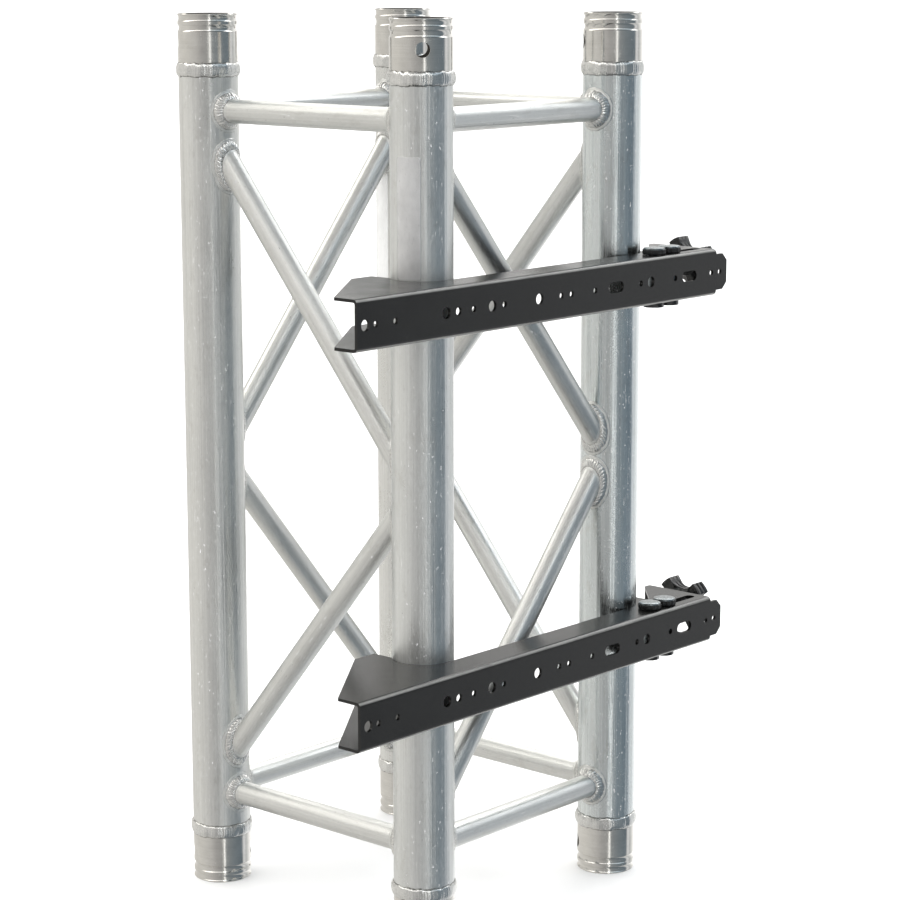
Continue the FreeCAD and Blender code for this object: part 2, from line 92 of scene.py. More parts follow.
# ---------------------------------------------------------------- meshes

# point attribute: 1 where two pieces of metal meet, 0 in the open
EDGE_MARK = "edge"


def make_piece(name, points, faces, body, materials, indices=None, edges=None):
    """A smooth mesh piece that rides on a body, its faces turned outward and its edges marked."""
    mesh = bpy.data.meshes.new(name)
    mesh.from_pydata(points, [], faces)
    for material in materials:
        mesh.materials.append(material)
    if indices:
        mesh.polygons.foreach_set("material_index", indices)
    shape = bmesh.new()
    shape.from_mesh(mesh)
    bmesh.ops.recalc_face_normals(shape, faces=shape.faces)
    shape.to_mesh(mesh)
    shape.free()
    mesh.shade_smooth()
    if edges:
        mesh.attributes.new(EDGE_MARK, "FLOAT", "POINT").data.foreach_set("value", edges)
    piece = bpy.data.objects.new(name, mesh)
    bpy.context.collection.objects.link(piece)
    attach(piece, body)
    return piece


def ring_faces(rows, columns, base=0):
    """Quads of a ring whose cross-sections are closed loops."""
    faces = []
    for row in range(rows):
        ahead = (row + 1) % rows
        for column in range(columns):
            beside = (column + 1) % columns
            faces.append((base + row * columns + column, base + row * columns + beside,
                          base + ahead * columns + beside, base + ahead * columns + column))
    return faces


def turned_faces(rows, columns, base=0):
    """Faces of a turned shape: open profiles joined at a first and a last point on its axis."""
    faces = []
    first, last = base + rows * columns, base + rows * columns + 1
    for row in range(rows):
        ahead = (row + 1) % rows
        here, there = base + row * columns, base + ahead * columns
        faces.append((first, there, here))
        faces.append((last, here + columns - 1, there + columns - 1))
        for column in range(columns - 1):
            faces.append((here + column, there + column, there + column + 1, here + column + 1))
    return faces


def unevenness(angle, seed, detail):
    """Smooth variation round a ring, about -1 to 1, that meets itself after a turn."""
    return noise.noise(Vector((detail * math.cos(angle), detail * math.sin(angle), seed)))


def ripple(phase):
    """Rounded ridges with sharp valleys between them, 0 to 1, one for each turn of the phase."""
    return abs(math.sin(phase / 2)) ** 0.7


# ---------------------------------------------------------------- materials

EDGE_UNEVENNESS = 0.25
EDGE_STRENGTH = 0.85


class Surface:
    """A principled material whose nodes work in the object's own coordinates, in metres."""

    def __init__(self, name, metallic, along=UP):
        self.material = bpy.data.materials.new(name)
        self.material.use_nodes = True
        self.tree = self.material.node_tree
        self.shader = self.tree.nodes["Principled BSDF"]
        self.shader.inputs["Metallic"].default_value = metallic
        self.place = self.tree.nodes.new("ShaderNodeTexCoord").outputs["Object"]
        self.turn = Vector(along).to_track_quat("Z", "Y").to_euler()

    def link(self, source, target):
        """Connect an output to an input."""
        self.tree.links.new(source, target)

    def stretched(self, across, lengthwise):
        """Coordinates divided by a size across the piece and another along it."""
        mapping = self.tree.nodes.new("ShaderNodeMapping")
        mapping.vector_type = "TEXTURE"
        mapping.inputs["Rotation"].default_value = self.turn
        mapping.inputs["Scale"].default_value = (across, across, lengthwise)
        self.link(self.place, mapping.inputs["Vector"])
        return mapping.outputs["Vector"]

    def grain(self, across, lengthwise=None, detail=3.0, roughness=0.5):
        """Noise, about 0.3 to 0.7, whose features have these sizes in metres across and along the piece."""
        node = self.tree.nodes.new("ShaderNodeTexNoise")
        node.inputs["Scale"].default_value = 1.0
        node.inputs["Detail"].default_value = detail
        node.inputs["Roughness"].default_value = roughness
        self.link(self.stretched(across, lengthwise or across), node.inputs["Vector"])
        return node.outputs["Fac"]

    def spread(self, value, low, high, start=0.3, end=0.7):
        """A value that runs from low to high while the noise runs from start to end."""
        node = self.tree.nodes.new("ShaderNodeMapRange")
        for key, number in zip(("From Min", "From Max", "To Min", "To Max"), (start, end, low, high)):
            node.inputs[key].default_value = number
        self.link(value, node.inputs["Value"])
        return node.outputs["Result"]

    def calculate(self, operation, *values):
        """A math node over the values given."""
        node = self.tree.nodes.new("ShaderNodeMath")
        node.operation = operation
        for value, socket in zip(values, node.inputs):
            self.link(value, socket)
        return node.outputs["Value"]

    def sum(self, first, *others):
        """Values added up."""
        for other in others:
            first = self.calculate("ADD", first, other)
        return first

    def tint(self, value, dark, light):
        """A colour between two, by a value from 0 to 1."""
        node = self.tree.nodes.new("ShaderNodeMix")
        node.data_type = "RGBA"
        node.inputs["A"].default_value = (*dark, 1)
        node.inputs["B"].default_value = (*light, 1)
        self.link(value, node.inputs["Factor"])
        return node.outputs["Result"]

    def cover(self, colour, amount, over):
        """A colour with another laid over it where the amount is high."""
        node = self.tree.nodes.new("ShaderNodeMix")
        node.data_type = "RGBA"
        node.inputs["B"].default_value = (*over, 1)
        self.link(amount, node.inputs["Factor"])
        self.link(colour, node.inputs["A"])
        return node.outputs["Result"]

    def marked_edge(self, start, end):
        """How strongly the mesh marks an edge here, made uneven by noise."""
        node = self.tree.nodes.new("ShaderNodeAttribute")
        node.attribute_name = EDGE_MARK
        uneven = self.spread(self.grain(0.004, None, 3.0), -EDGE_UNEVENNESS, EDGE_UNEVENNESS)
        return self.spread(self.sum(node.outputs["Fac"], uneven), 0.0, EDGE_STRENGTH, start, end)

    def bends(self, start, end):
        """How strongly the surface turns between a level face and one that stands across the rails."""
        split = self.tree.nodes.new("ShaderNodeSeparateXYZ")
        facing = self.tree.nodes.new("ShaderNodeTexCoord").outputs["Normal"]
        self.link(facing, split.inputs["Vector"])
        slant = self.calculate("MULTIPLY", split.outputs["Y"], split.outputs["Z"])
        return self.spread(self.calculate("ABSOLUTE", slant), 0.0, 1.0, start, end)

    def reach_from_chords(self):
        """Distance from the nearest chord's axis."""
        split = self.tree.nodes.new("ShaderNodeSeparateXYZ")
        self.link(self.place, split.inputs["Vector"])
        squares = []
        for part in ("X", "Y"):
            size = self.calculate("ABSOLUTE", split.outputs[part])
            offset = self.spread(size, -1.0, 1.0, HALF_SPACING - 1.0, HALF_SPACING + 1.0)
            squares.append(self.calculate("MULTIPLY", offset, offset))
        return self.calculate("SQRT", self.sum(*squares))

    def finish(self, colour, roughness, height, relief):
        """Connect colour, roughness and a relief in metres, and give back the material."""
        bump = self.tree.nodes.new("ShaderNodeBump")
        bump.inputs["Distance"].default_value = relief
        self.link(height, bump.inputs["Height"])
        self.link(bump.outputs["Normal"], self.shader.inputs["Normal"])
        self.link(colour, self.shader.inputs["Base Color"])
        self.link(roughness, self.shader.inputs["Roughness"])
        return self.material


# colours of the finishes, from darkest to lightest, and of what lies on them
PLAIN_TONE = (0.995, 1.0, 0.975)
TUBE_LEVELS = (0.68, 0.96)
SMUDGE = (0.61, 0.60, 0.565)
SCRATCH = (0.80, 0.80, 0.80)
PIT = (0.24, 0.23, 0.22)
TURNED_COLOURS = ((0.68, 0.665, 0.632), (0.81, 0.795, 0.76))
SCUFF = (0.55, 0.545, 0.53)
# painted shade: the colour laid inside the sleeves' bores
BORE_PAINTED_SHADE = (0.20, 0.19, 0.175)
WELD_COLOURS = ((0.66, 0.66, 0.645), (0.94, 0.94, 0.92))
SOOT = (0.42, 0.42, 0.41)
# painted shade: the dark colour laid in the creases where the welds meet the tubes
WELD_CREASE_SHADE = (0.34, 0.335, 0.32)
HALO_COLOURS = ((0.78, 0.785, 0.765), (0.96, 0.965, 0.945))
HALO_EDGE = (0.68, 0.68, 0.665)
COAT_COLOURS = ((0.0042, 0.0042, 0.0039), (0.0078, 0.0078, 0.0073))
RUBBED_COAT = (0.017, 0.017, 0.016)
# painted highlight: a paler grey laid along the rails' bends, where the overhead strip light would be
# reflected
PAINTED_BEND_HIGHLIGHT = (0.19, 0.19, 0.183)
DUST = (0.06, 0.06, 0.056)
PLASTIC_COLOURS = ((0.006, 0.006, 0.006), (0.012, 0.012, 0.012))
OXIDE_COLOURS = ((0.005, 0.005, 0.0055), (0.012, 0.012, 0.0125))
ZINC_COLOURS = ((0.20, 0.225, 0.235), (0.40, 0.43, 0.445))
SILVER_FILM = ((0.62, 0.62, 0.62), (0.74, 0.74, 0.74))
WHITE_FILM = ((0.74, 0.74, 0.73), (0.84, 0.84, 0.83))
FILM_SCUFF_LEVEL = 0.7
FLOOR_COLOURS = ((0.86, 0.86, 0.86), (0.88, 0.88, 0.88))


def toned(level, tone):
    """A grey shifted towards a tone."""
    return tuple(min(1.0, level * part) for part in tone)


def drawn_tube(name, along, tone=PLAIN_TONE, polish=0.0, wear=0.0):
    """Mill-finish aluminium: lines and flats along the tube, cloudy oxide, scratches, specks and pits."""
    surface = Surface(name, 1.0, along)
    lines = surface.grain(0.0011, 0.14, 2.0)
    fine = surface.grain(0.0005, 0.06, 2.0)
    cloud = surface.grain(0.022, 0.075, 4.0, 0.6)
    bands = surface.grain(0.0050, 0.9, 2.0)
    frost = surface.grain(0.0016, 0.004, 4.0, 0.65)
    specks = surface.spread(surface.grain(0.0015, 0.0032, 2.0), 0.0, 1.0, 0.67, 0.72)
    marks = surface.spread(surface.grain(0.0011, 0.016, 3.0, 0.7), 0.0, 0.9, 0.66, 0.73)
    scrapes = surface.spread(surface.grain(0.0075, 0.0010, 3.0, 0.7), 0.0, 0.8, 0.68, 0.75)
    smudges = surface.spread(surface.grain(0.009, 0.02, 4.0, 0.7), 0.0, 0.5, 0.56, 0.76)
    pits = surface.spread(surface.grain(0.0013, 0.0060, 3.0, 0.7), 0.0, 0.8, 0.705 - wear, 0.76 - wear)
    shade = surface.sum(surface.spread(cloud, 0.0, 0.30), surface.spread(lines, 0.0, 0.28),
                        surface.spread(bands, 0.0, 0.30), surface.spread(frost, 0.0, 0.22))
    colour = surface.tint(shade, *(toned(level, tone) for level in TUBE_LEVELS))
    colour = surface.cover(colour, smudges, SMUDGE)
    scratched = surface.spread(surface.sum(specks, marks, scrapes), 0.0, 1.0, 0.0, 1.0)
    colour = surface.cover(colour, scratched, SCRATCH)
    colour = surface.cover(colour, pits, PIT)
    roughness = surface.sum(surface.spread(cloud, 0.24 - polish, 0.38 - polish),
                            surface.spread(frost, -0.04, 0.06))
    height = surface.sum(lines, fine, surface.spread(bands, 0.0, 3.0))
    # a scratch scatters light instead of mirroring the studio
    surface.link(surface.spread(scratched, 1.0, 0.30, 0.0, 1.0), surface.shader.inputs["Metallic"])
    return surface.finish(colour, roughness, height, relief=0.00007)


def turned_metal(name):
    """Bright turned aluminium: fine rings round the axis, with handling marks, and a rougher bore darkened
    with painted shade.
    """
    surface = Surface(name, 1.0)
    rings = surface.grain(0.4, 0.0005, 2.0)
    cloud = surface.grain(0.012, 0.012, 3.0)
    marks = surface.spread(surface.grain(0.0009, 0.010, 3.0, 0.7), 0.0, 0.8, 0.64, 0.72)
    scuffs = surface.spread(surface.grain(0.008, 0.0011, 3.0, 0.7), 0.0, 0.6, 0.66, 0.76)
    inside = surface.spread(surface.reach_from_chords(), 1.0, 0.0, BORE_LINE - BORE_BLEND, BORE_LINE)
    shade = surface.sum(surface.spread(rings, 0.0, 0.35), surface.spread(cloud, 0.0, 0.65))
    colour = surface.tint(shade, *TURNED_COLOURS)
    colour = surface.cover(colour, scuffs, SCUFF)
    # painted shade: the bore is darkened in colour as if in shadow; below it is also made rougher
    colour = surface.cover(colour, inside, BORE_PAINTED_SHADE)
    roughness = surface.sum(surface.spread(cloud, 0.13, 0.20), surface.spread(marks, 0.0, 0.2, 0.0, 1.0),
                            surface.spread(inside, 0.0, 0.35, 0.0, 1.0))
    return surface.finish(colour, roughness, surface.sum(rings, marks), relief=0.00002)


def weld_metal(name):
    """Weld metal: grey, finely mottled, a little sooty, with painted shade in the crease where it meets the
    tubes.
    """
    surface = Surface(name, 1.0)
    mottle = surface.grain(0.0011, None, 4.0, 0.6)
    cloud = surface.grain(0.006, None, 3.0)
    soot = surface.spread(surface.grain(0.0030, None, 4.0, 0.7), 0.0, 0.5, 0.58, 0.74)
    shade = surface.sum(surface.spread(mottle, 0.0, 0.5), surface.spread(cloud, 0.0, 0.5))
    colour = surface.tint(shade, *WELD_COLOURS)
    colour = surface.cover(colour, soot, SOOT)
    # painted shade: the weld is darkened along its marked edges, where it meets the tubes, as if in the
    # crease's shadow
    colour = surface.cover(colour, surface.marked_edge(0.50, 0.85), WELD_CREASE_SHADE)
    return surface.finish(colour, surface.spread(cloud, 0.17, 0.32), mottle, relief=0.00010)


def weld_halo(name):
    """The band beside a weld, cleaned and frosted by its heat."""
    surface = Surface(name, 1.0)
    frost = surface.grain(0.0008, None, 3.0, 0.6)
    cloud = surface.grain(0.005, None, 3.0)
    shade = surface.sum(surface.spread(frost, 0.0, 0.4), surface.spread(cloud, 0.0, 0.6))
    colour = surface.tint(shade, *HALO_COLOURS)
    colour = surface.cover(colour, surface.marked_edge(0.6, 1.1), HALO_EDGE)
    return surface.finish(colour, surface.spread(cloud, 0.40, 0.54), frost, relief=0.00006)


def powder_coat(name):
    """Satin black powder coat: fine orange peel, a little dust, faint rubbed patches and a painted
    highlight along the bends.
    """
    surface = Surface(name, 0.0)
    surface.shader.inputs["Specular IOR Level"].default_value = 0.40
    peel = surface.grain(0.0011, None, 2.0)
    fine = surface.grain(0.0004, None, 2.0)
    cloud = surface.grain(0.030, None, 4.0, 0.6)
    dust = surface.spread(surface.grain(0.0007, None, 2.0), 0.0, 0.5, 0.70, 0.78)
    # painted highlight: the bends, top and bottom, are made paler in colour to stand for the strip light's
    # reflection
    bend_highlight = surface.calculate("MULTIPLY", surface.bends(0.34, 0.48), surface.spread(cloud, 0.55, 1.0))
    rubbed = surface.spread(surface.grain(0.012, 0.003, 4.0, 0.7), 0.0, 0.5, 0.60, 0.78)
    colour = surface.tint(surface.spread(cloud, 0.0, 1.0), *COAT_COLOURS)
    colour = surface.cover(colour, rubbed, RUBBED_COAT)
    colour = surface.cover(colour, bend_highlight, PAINTED_BEND_HIGHLIGHT)
    colour = surface.cover(colour, dust, DUST)
    roughness = surface.sum(surface.spread(cloud, 0.17, 0.25), surface.spread(fine, -0.03, 0.03))
    return surface.finish(colour, roughness, surface.sum(peel, fine), relief=0.00003)


def moulded_plastic(name):
    """Black moulded plastic with a fine grain and smoother patches."""
    surface = Surface(name, 0.0)
    grain = surface.grain(0.0006, None, 3.0)
    cloud = surface.grain(0.009, None, 3.0)
    colour = surface.tint(surface.spread(cloud, 0.0, 1.0), *PLASTIC_COLOURS)
    return surface.finish(colour, surface.spread(cloud, 0.13, 0.26), grain, relief=0.00003)


def black_oxide(name):
    """Black fasteners: dark, oily and slightly streaked."""
    surface = Surface(name, 0.0)
    streaks = surface.grain(0.0012, 0.004, 3.0)
    cloud = surface.grain(0.005, None, 3.0)
    colour = surface.tint(surface.spread(cloud, 0.0, 1.0), *OXIDE_COLOURS)
    return surface.finish(colour, surface.spread(streaks, 0.15, 0.27), streaks, relief=0.00004)


def plated_steel(name):
    """Zinc plate: bluish grey with soft spangle and fine streaks."""
    surface = Surface(name, 1.0)
    spangle = surface.grain(0.0018, None, 3.0)
    streaks = surface.grain(0.0006, 0.004, 2.0)
    height = surface.sum(streaks, spangle)
    colour = surface.tint(surface.spread(spangle, 0.0, 1.0), *ZINC_COLOURS)
    return surface.finish(colour, surface.spread(streaks, 0.22, 0.34), height, relief=0.00003)


def label_film(name, colours, metallic, roughness):
    """Blank label film with faint creases and scuffs."""
    surface = Surface(name, metallic)
    cloud = surface.grain(0.010, 0.014, 4.0, 0.6)
    creases = surface.grain(0.0018, 0.05, 2.0)
    scuffs = surface.spread(surface.grain(0.0014, 0.006, 3.0, 0.7), 0.0, 0.6, 0.62, 0.74)
    colour = surface.tint(surface.spread(cloud, 0.0, 1.0), *colours)
    colour = surface.cover(colour, scuffs, tuple(FILM_SCUFF_LEVEL * part for part in colours[0]))
    gloss = surface.spread(cloud, roughness - 0.05, roughness + 0.07)
    return surface.finish(colour, gloss, creases, relief=0.00005)


def pale_floor(name):
    """Plain pale studio floor with a trace of texture."""
    surface = Surface(name, 0.0)
    cloud = surface.grain(0.6, None, 3.0)
    tooth = surface.grain(0.004, None, 2.0)
    colour = surface.tint(surface.spread(cloud, 0.0, 1.0), *FLOOR_COLOURS)
    return surface.finish(colour, surface.spread(tooth, 0.85, 0.95), tooth, relief=0.00005)


# each tube has its own tone and polish: polish takes this much off its roughness
CHORD_TONES = {
    "front_left": (0.985, 1.0, 0.985),
    "front_right": (0.945, 0.995, 1.0),
    "back_right": PLAIN_TONE,
    "back_left": PLAIN_TONE,
}
CHORD_POLISH = {"front_left": -0.04, "front_right": 0.10, "back_right": 0.0, "back_left": -0.05}
BRACE_POLISH = {"front": -0.07, "right": -0.05, "back": -0.05, "left": -0.15}
BRACE_WEAR = 0.025
TURNED = turned_metal("turned_aluminium")
WELD = weld_metal("weld_metal")
HALO = weld_halo("weld_halo")
COAT = powder_coat("black_powder_coat")
PLASTIC = moulded_plastic("black_plastic")
OXIDE = black_oxide("black_oxide")
PLATED = plated_steel("zinc_plate")


def paint(node, material):
    """Give a carried-over node its material."""
    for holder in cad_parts[node].material_slots:
        holder.material = material


# ---------------------------------------------------------------- braces: their ends and directions

def brace_ends(name, face):
    """Where a brace's axis meets the axes of its two chords."""
    outer, inner = (CHORD_AXIS[corner] for corner in FACES[face])
    if name.startswith("rung"):
        height = middle(f"{name}_{face}").z
        return outer + UP * height, inner + UP * height
    sign = 1 if name.endswith("upper") else -1
    clear = (inner - outer).length - 2 * CHORD_RADIUS
    overrun = (DIAGONAL_OUTER_RISE - DIAGONAL_INNER_RISE) / clear * CHORD_RADIUS
    first = MIDDLE_HEIGHT + sign * (DIAGONAL_OUTER_RISE + overrun)
    second = MIDDLE_HEIGHT + sign * (DIAGONAL_INNER_RISE - overrun)
    return outer + UP * first, inner + UP * second


BRACES = [(kind, face) for kind in ("rung_bottom", "rung_top", "diagonal_lower", "diagonal_upper")
          for face in FACES]


def paint_truss():
    """Tubes get lines along their own length; sleeves are turned."""
    for corner in CORNERS:
        tube = drawn_tube(f"drawn_tube_{corner}", UP, CHORD_TONES[corner], CHORD_POLISH[corner])
        paint(f"chord_{corner}", tube)
        for end in ENDS:
            paint(f"sleeve_{end}_{corner}", TURNED)
    for kind, face in BRACES:
        first, second = brace_ends(kind, face)
        tube = drawn_tube(f"drawn_tube_{kind}_{face}", second - first,
                          polish=BRACE_POLISH[face], wear=BRACE_WEAR)
        paint(f"{kind}_{face}", tube)


# ---------------------------------------------------------------- weld beads between sleeves and tubes

BEAD_HALF_WIDTH = 0.006
BEAD_HEIGHT = 0.0021
BEAD_ROWS = 480
BEAD_STEPS = 12
BEAD_ROOT = 0.0006
BEAD_TOE = 0.0001
BEAD_FOOT = 0.8
# how the crown falls away: the powers on the tube's side, on the sleeve's side and of the whole
BEAD_FALL_TO_TUBE = 3.4
BEAD_FALL_TO_SLEEVE = 2.2
BEAD_CROWN_POWER = 0.8
BEAD_EDGE_SWAY = 0.15
BEAD_HEIGHT_SWAY = 0.30
BEAD_LOW_LEVEL = 0.92
# the ripples: their pitch, their share of the height, how far they bow and how far they stray, in radians
RIPPLE_PITCH = 0.0024
BEAD_RIPPLE = 0.06
BEAD_RIPPLE_BOW = 3.4
BEAD_RIPPLE_STRAY = 3.0
# where the painted crease shade starts, as a share of the half width
BEAD_EDGE_START = 0.62
# between whole numbers, where the noise would be zero
SEED_START = 0.5


def bead_section(centre, level, side, angle, seed):
    """Cross-section of a sleeve's bead: soft towards the sleeve, steep at the tube."""
    outward = Vector((math.cos(angle), math.sin(angle), 0))
    count = round(2 * math.pi * CHORD_RADIUS / RIPPLE_PITCH)
    points, edges = [], []
    for step in range(BEAD_STEPS + 1):
        across = 2 * step / BEAD_STEPS - 1
        on_tube = across > 0
        edge = BEAD_HALF_WIDTH * (1 + BEAD_EDGE_SWAY * unevenness(angle, seed + 3 * on_tube, 6))
        fall = BEAD_FALL_TO_TUBE if on_tube else BEAD_FALL_TO_SLEEVE
        crown = (1 - abs(across) ** fall) ** BEAD_CROWN_POWER
        stray = BEAD_RIPPLE_STRAY * unevenness(angle, seed + 9, 5)
        phase = count * angle + BEAD_RIPPLE_BOW * across ** 2 + stray
        sway = BEAD_HEIGHT_SWAY * unevenness(angle, seed + 5, 5)
        height = BEAD_HEIGHT * crown * (BEAD_LOW_LEVEL + BEAD_RIPPLE * ripple(phase) + sway)
        edges.append(max(0.0, (abs(across) - BEAD_EDGE_START) / (1 - BEAD_EDGE_START)))
        points.append(centre + outward * (CHORD_RADIUS - BEAD_TOE + height)
                      + UP * (level + side * edge * across))
    for across in (BEAD_FOOT, -BEAD_FOOT):
        points.append(centre + outward * (CHORD_RADIUS - BEAD_ROOT)
                      + UP * (level + side * BEAD_HALF_WIDTH * across))
        edges.append(1.0)
    return points, edges


def make_beads():
    """One piece that stands for all the beads round the sleeves."""
    points, faces, edges = [], [], []
    for order, (end, corner) in enumerate((end, corner) for end in ENDS for corner in CORNERS):
        level, side = (SLEEVE_LENGTH, 1) if end == "bottom" else (SECTION_LENGTH - SLEEVE_LENGTH, -1)
        faces += ring_faces(BEAD_ROWS, BEAD_STEPS + 3, len(points))
        for row in range(BEAD_ROWS):
            angle = 2 * math.pi * row / BEAD_ROWS
            section, marks = bead_section(CHORD_AXIS[corner], level, side, angle, 20 * order + SEED_START)
            points += section
            edges += marks
    piece = make_piece("sleeve_beads", points, faces, "truss", [WELD], edges=edges)
    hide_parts("sleeve_welds")


# ---------------------------------------------------------------- fillet welds round the braces' ends

FILLET_LEG = 0.0054
FILLET_BULGE = 0.0007
FILLET_RIDGE = 0.00060
FILLET_ROWS = 264
FILLET_STEPS = 9
FILLET_RIPPLES = 34
# the legs grow by this share where brace and chord meet flat, and vary by the second
FILLET_LEG_GROWTH = 0.45
FILLET_LEG_SWAY = 0.10
FILLET_BULGE_SWAY = 0.5
# how far the ripples bow and stray, in radians, their middle level and how soon they rise from the toes
FILLET_RIPPLE_BOW = 3.8
FILLET_RIPPLE_STRAY = 2.2
FILLET_RIPPLE_MIDDLE = 0.4
FILLET_RIPPLE_RISE = 2.5
HALO_WIDTH = 0.0032
HALO_LIFT = 0.00010
ROOT_DEPTH = 0.0012
# edge marks from the halo's outside to the fillet's open middle
FILLET_MARKS = (1.0, 0.1, 0.9, 0.4)


def leaving_point(start, direction, centre):
    """Where a line from inside a chord comes out through its surface."""
    inside, run = (start - centre).xy, direction.xy
    half_slope = inside.dot(run)
    square = run.length_squared
    reach = math.sqrt(half_slope ** 2 - square * (inside.length_squared - CHORD_RADIUS ** 2))
    return start + direction * ((reach - half_slope) / square)


def fillet_section(foot, direction, centre, angle, seed):
    """Cross-section of the fillet between a brace and a chord, with a halo beside each toe."""
    side = UP.cross(direction).normalized()
    radial = side * math.cos(angle) + direction.cross(side) * math.sin(angle)
    corner = leaving_point(foot + radial * BRACE_RADIUS, direction, centre)
    normal = (corner - centre).xy.to_3d().normalized()
    away = (radial - normal * radial.dot(normal)).normalized()
    opening = direction.angle(away)
    growth = 1 + FILLET_LEG_GROWTH * (1 - opening / (math.pi / 2))
    leg = FILLET_LEG * growth * (1 + FILLET_LEG_SWAY * unevenness(angle, seed, 5))

    def on_brace(distance, lift):
        return corner + direction * distance + radial * lift

    def on_chord(distance, lift):
        spot = corner + away * distance - centre
        flat = spot.xy.to_3d().normalized() * (CHORD_RADIUS + lift)
        return centre + flat + UP * spot.z

    outward = (radial + normal).normalized()
    phase = FILLET_RIPPLES * angle + FILLET_RIPPLE_STRAY * unevenness(angle, seed + 4, 4)
    bulge = FILLET_BULGE * (1 + FILLET_BULGE_SWAY * unevenness(angle, seed + 8, 5))
    points = [on_brace(leg + HALO_WIDTH, -HALO_LIFT), on_brace(leg + HALO_WIDTH / 2, HALO_LIFT)]
    for step in range(FILLET_STEPS + 1):
        share = step / FILLET_STEPS
        arch = 4 * share * (1 - share)
        base = on_brace(leg, HALO_LIFT).lerp(on_chord(leg, HALO_LIFT), share)
        bow = FILLET_RIPPLE_BOW * (2 * share - 1) ** 2
        ridge = FILLET_RIDGE * (ripple(phase + bow) - FILLET_RIPPLE_MIDDLE)
        points.append(base + outward * (bulge * arch + ridge * min(1, FILLET_RIPPLE_RISE * arch)))
    points += [on_chord(leg + HALO_WIDTH / 2, HALO_LIFT), on_chord(leg + HALO_WIDTH, -HALO_LIFT)]
    points.append(corner - outward * ROOT_DEPTH)
    return points


def make_fillets():
    """The two welds of every brace, one piece for each brace."""
    section_edges = [*FILLET_MARKS, *[0.0] * (FILLET_STEPS - 3), *reversed(FILLET_MARKS), 1.0]
    columns = len(section_edges)
    halo_columns = (0, 1, FILLET_STEPS + 2, FILLET_STEPS + 3)
    for order, (kind, face) in enumerate(BRACES):
        ends = brace_ends(kind, face)
        points, faces, indices, edges = [], [], [], []
        for number in (0, 1):
            foot, direction = ends[number], (ends[1 - number] - ends[number]).normalized()
            centre = CHORD_AXIS[FACES[face][number]]
            faces += ring_faces(FILLET_ROWS, columns, len(points))
            indices += [int(column in halo_columns) for column in range(columns)] * FILLET_ROWS
            edges += section_edges * FILLET_ROWS
            for row in range(FILLET_ROWS):
                angle = 2 * math.pi * row / FILLET_ROWS
                seed = 30 * order + 13 * number + SEED_START
                points += fillet_section(foot, direction, centre, angle, seed)
        make_piece(f"welds_{kind}_{face}", points, faces, "truss", [WELD, HALO],
                   indices, edges)


# ---------------------------------------------------------------- blank labels on two of the tubes

LABEL_THICKNESS = 0.00012
LABEL_CORNER = 0.0016
LABEL_ROWS = 40
LABEL_COLUMNS = 24
# chord, sweep round the tube in degrees, lowest and highest point, and the film's look
LABELS = {
    "label_front": ("front_left", (172, 221), (0.5485, 0.6440), ("label_silver", SILVER_FILM, 0.7, 0.34)),
    "label_back": ("back_right", (146, 188), (0.5070, 0.6070), ("label_white", WHITE_FILM, 0.0, 0.42)),
}


def label_points(centre, sweep, heights):
    """A film's points, row by row: its face with round corners, then its back under the tube's surface."""
    middle_angle, half_angle = math.radians(sum(sweep) / 2), math.radians((sweep[1] - sweep[0]) / 2)
    points = []
    for radius in (CHORD_RADIUS + LABEL_THICKNESS, CHORD_RADIUS - LABEL_THICKNESS):
        for row in range(LABEL_ROWS + 1):
            share = (1 - math.cos(math.pi * row / LABEL_ROWS)) / 2
            height = heights[0] + (heights[1] - heights[0]) * share
            inset = max(0.0, LABEL_CORNER - min(height - heights[0], heights[1] - height))
            shrink = LABEL_CORNER - math.sqrt(LABEL_CORNER ** 2 - inset ** 2)
            reach = half_angle - shrink / CHORD_RADIUS
            for column in range(LABEL_COLUMNS + 1):
                angle = middle_angle + reach * (2 * column / LABEL_COLUMNS - 1)
                points.append(centre + Vector((radius * math.cos(angle), radius * math.sin(angle), height)))
    return points


def label_faces():
    """Quads of a film's face and back, and of the rim between them."""
    wide = LABEL_COLUMNS + 1
    layer = wide * (LABEL_ROWS + 1)
    faces = []
    for base in (0, layer):
        for row in range(LABEL_ROWS):
            for column in range(LABEL_COLUMNS):
                here = base + row * wide + column
                faces.append((here, here + 1, here + wide + 1, here + wide))
    rim = list(range(LABEL_COLUMNS))
    rim += [row * wide + LABEL_COLUMNS for row in range(LABEL_ROWS)]
    rim += [LABEL_ROWS * wide + column for column in range(LABEL_COLUMNS, 0, -1)]
    rim += [row * wide for row in range(LABEL_ROWS, 0, -1)]
    for place, here in enumerate(rim):
        following = rim[(place + 1) % len(rim)]
        faces.append((here, following, following + layer, here + layer))
    return faces


def make_label(name):
    """A blank curved film stuck on one of the tubes."""
    corner, sweep, heights, look = LABELS[name]
    points = label_points(CHORD_AXIS[corner], sweep, heights)
    make_piece(name, points, label_faces(), "truss", [label_film(*look)])


# ---------------------------------------------------------------- clamps: knobs, collars and bolt tops

KNOB_RADIUS = 0.025
KNOB_THICKNESS = 0.015
KNOB_BOSS_RADIUS = 0.010
KNOB_BOSS_LENGTH = 0.007
KNOB_SOCKET_RADIUS = 0.00495
KNOB_SOCKET_DEPTH = 0.0162
KNOB_SCALLOP_RADIUS = 0.015
KNOB_SCALLOP_DISTANCE = 0.029
KNOB_ANGLES = {"lower": math.radians(41), "upper": math.radians(29)}
KNOB_LOBES = 4
KNOB_ROWS = 192
# corner between lobe and scallop, and rounded edges of the rim
KNOB_SOFTNESS = 0.0006
KNOB_EDGE = 0.0011
